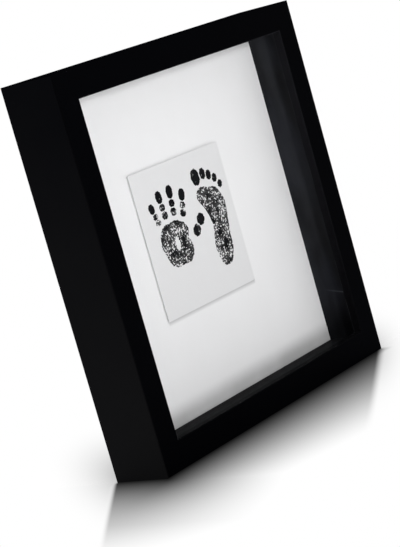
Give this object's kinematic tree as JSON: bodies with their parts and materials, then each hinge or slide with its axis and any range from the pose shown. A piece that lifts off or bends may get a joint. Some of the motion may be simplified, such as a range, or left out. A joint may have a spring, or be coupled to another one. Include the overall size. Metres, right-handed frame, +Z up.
{
  "type": "box picture frame",
  "caption": "Deep square black box frame with a glass front, a card of a baby's hand and foot prints raised on a white mount, turn buttons and ring hangers behind.",
  "frame": {"origin": "middle of the frame's flat bottom face, half way through its depth", "axes": "+X to the right seen from the front, +Y from the glass to the back panel, +Z up"},
  "size_m": [0.25, 0.046, 0.25],
  "materials": {
    "black_lacquer": "satin black lacquer over a moulded fibreboard rail",
    "black_spacer": "black painted fibreboard strip",
    "clear_glass": "clear float glass",
    "white_mount": "smooth white mount board",
    "white_foam": "white foam board",
    "print_paper": "pale grey uncoated card",
    "black_ink": "mottled black ink",
    "brown_card": "brown corrugated card",
    "brown_hardboard": "brown hardboard",
    "bare_steel": "plain spring steel",
    "plated_strap": "zinc plated pressed steel",
    "plated_wire": "nickel plated wire",
    "plated_screws": "zinc plated",
    "bumper_rubber": "soft black rubber"
  },
  "bodies": {
    "frame": {"rail_bottom": "black_lacquer", "rail_top": "black_lacquer", "rail_left": "black_lacquer", "rail_right": "black_lacquer", "spacer_bottom": "black_spacer", "spacer_top": "black_spacer", "spacer_left": "black_spacer", "spacer_right": "black_spacer", "glass_pane": "clear_glass", "mount_board": "white_mount", "card_riser": "white_foam", "print_card": "print_paper", "ink_handprint": "black_ink", "ink_footprint": "black_ink", "filler_board": "brown_card", "back_panel": "brown_hardboard", "corner_v_nails": "bare_steel", "turn_button_screws": "plated_screws", "hanger_screws": "plated_screws", "hanger_strap_left": "plated_strap", "hanger_strap_right": "plated_strap", "wall_bumper_left": "bumper_rubber", "wall_bumper_right": "bumper_rubber"},
    "button_top_left": {"turn_button_top_left": "plated_strap"},
    "button_top_right": {"turn_button_top_right": "plated_strap"},
    "button_bottom_left": {"turn_button_bottom_left": "plated_strap"},
    "button_bottom_right": {"turn_button_bottom_right": "plated_strap"},
    "button_left": {"turn_button_left": "plated_strap"},
    "button_right": {"turn_button_right": "plated_strap"},
    "ring_left": {"hanger_ring_left": "plated_wire"},
    "ring_right": {"hanger_ring_right": "plated_wire"}
  },
  "joints": [
    {"name": "turn_top_left", "type": "hinge", "parent": "frame", "child": "button_top_left", "pos_m": [-0.062, 0.0211, 0.2445], "axis": [0, 1, 0], "continuous": true},
    {"name": "turn_top_right", "type": "hinge", "parent": "frame", "child": "button_top_right", "pos_m": [0.062, 0.0211, 0.2445], "axis": [0, 1, 0], "continuous": true},
    {"name": "turn_bottom_left", "type": "hinge", "parent": "frame", "child": "button_bottom_left", "pos_m": [-0.062, 0.0211, 0.0055], "axis": [0, 1, 0], "continuous": true},
    {"name": "turn_bottom_right", "type": "hinge", "parent": "frame", "child": "button_bottom_right", "pos_m": [0.062, 0.0211, 0.0055], "axis": [0, 1, 0], "continuous": true},
    {"name": "turn_left", "type": "hinge", "parent": "frame", "child": "button_left", "pos_m": [-0.1195, 0.0211, 0.125], "axis": [0, 1, 0], "continuous": true},
    {"name": "turn_right", "type": "hinge", "parent": "frame", "child": "button_right", "pos_m": [0.1195, 0.0211, 0.125], "axis": [0, 1, 0], "continuous": true},
    {"name": "swing_left", "type": "hinge", "parent": "frame", "child": "ring_left", "pos_m": [-0.117, 0.02268, 0.192], "axis": [1, 0, 0], "range_deg": [0, 175]},
    {"name": "swing_right", "type": "hinge", "parent": "frame", "child": "ring_right", "pos_m": [0.117, 0.02268, 0.192], "axis": [1, 0, 0], "range_deg": [0, 175]}
  ]
}
